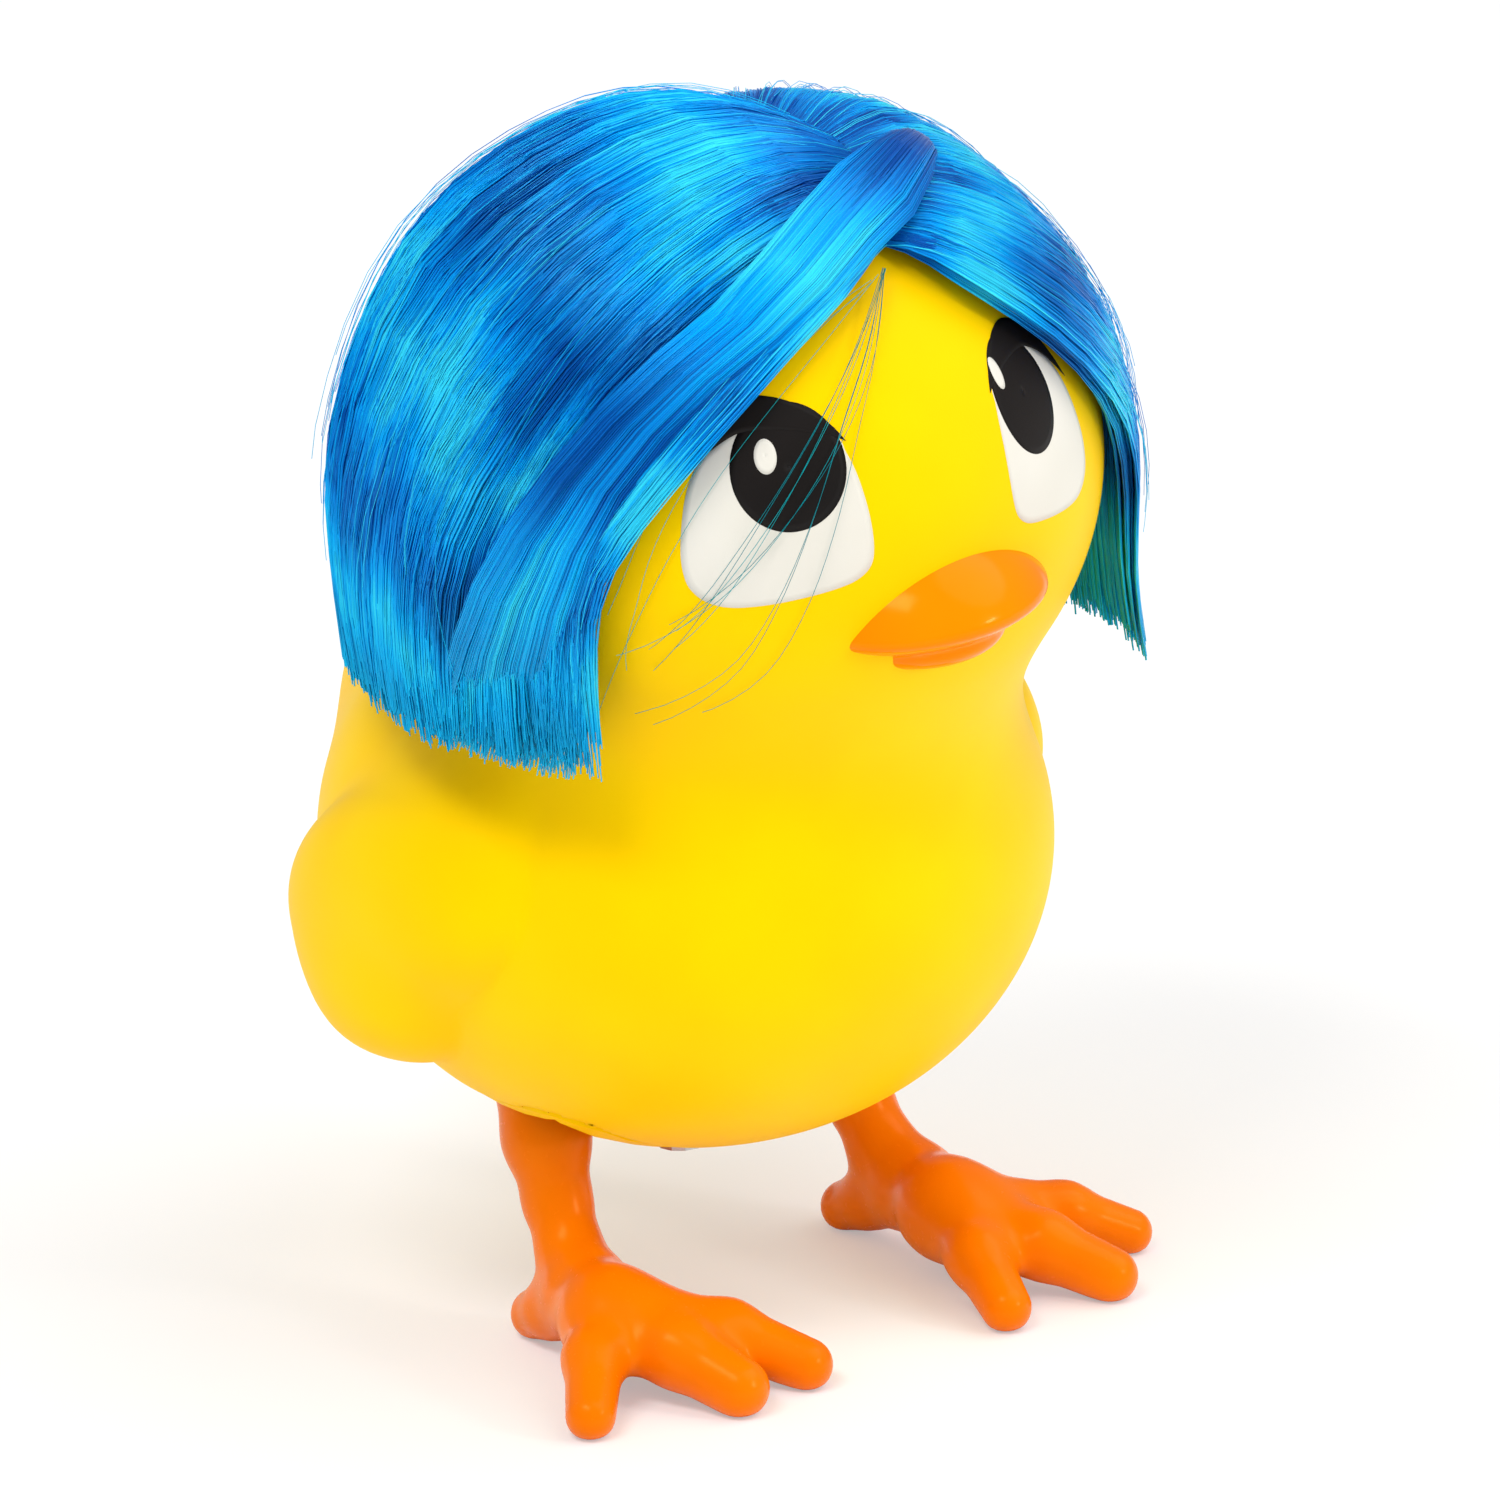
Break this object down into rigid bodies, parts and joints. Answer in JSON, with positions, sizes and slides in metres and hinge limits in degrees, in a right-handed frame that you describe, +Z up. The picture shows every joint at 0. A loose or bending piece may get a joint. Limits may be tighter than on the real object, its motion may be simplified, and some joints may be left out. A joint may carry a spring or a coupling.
{
  "type": "wind-up hopping chick",
  "caption": "Wind-up hopping chick with a hollow vinyl body, moulded wings, rooted nylon hair, swinging moulded legs and a clockwork motor inside.",
  "frame": {"origin": "middle of the footprint of the whole part, on the surface that it stands on", "axes": "+Z up, the chick faces -Y, its left side and the winding knob are at +X"},
  "size_m": [0.0498, 0.0542, 0.0714],
  "materials": {
    "yellow_vinyl": "satin rotational-moulded soft vinyl",
    "orange_gloss": "polished moulding",
    "orange_pvc": "glossy moulded PVC",
    "blue_nylon": "combed shiny nylon fibre",
    "white_abs": "moulded, satin",
    "acetal": "moulded, natural",
    "steel": "drawn wire and turned pins",
    "spring_steel": "blued strip"
  },
  "bodies": {
    "chick": {"body_shell": "yellow_vinyl", "base_plate": "yellow_vinyl", "plate_screw_1": "steel", "plate_screw_2": "steel", "beak": "orange_gloss", "hair_right": "blue_nylon", "hair_left": "blue_nylon", "second_axle": "steel", "crank_axle": "steel", "mainspring": "spring_steel", "case_right": "white_abs", "case_left": "white_abs", "case_screw_1": "steel", "case_screw_2": "steel", "case_screw_3": "steel"},
    "winder": {"winding_arbor": "steel", "winding_knob": "white_abs", "great_wheel": "acetal"},
    "second_wheel": {"second_wheel": "acetal"},
    "crank_wheel": {"crank_wheel": "acetal"},
    "legs": {"leg_shaft": "steel", "rocker_lever": "acetal", "left_leg": "orange_pvc", "right_leg": "orange_pvc"}
  },
  "joints": [
    {"name": "winding", "type": "hinge", "parent": "chick", "child": "winder", "pos_m": [0, 0.01134, 0.0234], "axis": [1, 0, 0], "continuous": true},
    {"name": "second_wheel_turn", "type": "hinge", "parent": "chick", "child": "second_wheel", "pos_m": [0, 0.00653, 0.02747], "axis": [1, 0, 0], "continuous": true},
    {"name": "crank_turn", "type": "hinge", "parent": "chick", "child": "crank_wheel", "pos_m": [0, 0.00163, 0.02408], "axis": [1, 0, 0], "continuous": true},
    {"name": "legs_swing", "type": "hinge", "parent": "chick", "child": "legs", "pos_m": [0, 0.00374, 0.019], "axis": [1, 0, 0], "range_deg": [-9.5, 9.5]}
  ],
  "couplings": [
    {"joint": "second_wheel_turn", "follows": "winding", "ratio": -3.5},
    {"joint": "crank_turn", "follows": "winding", "ratio": 11.375}
  ]
}
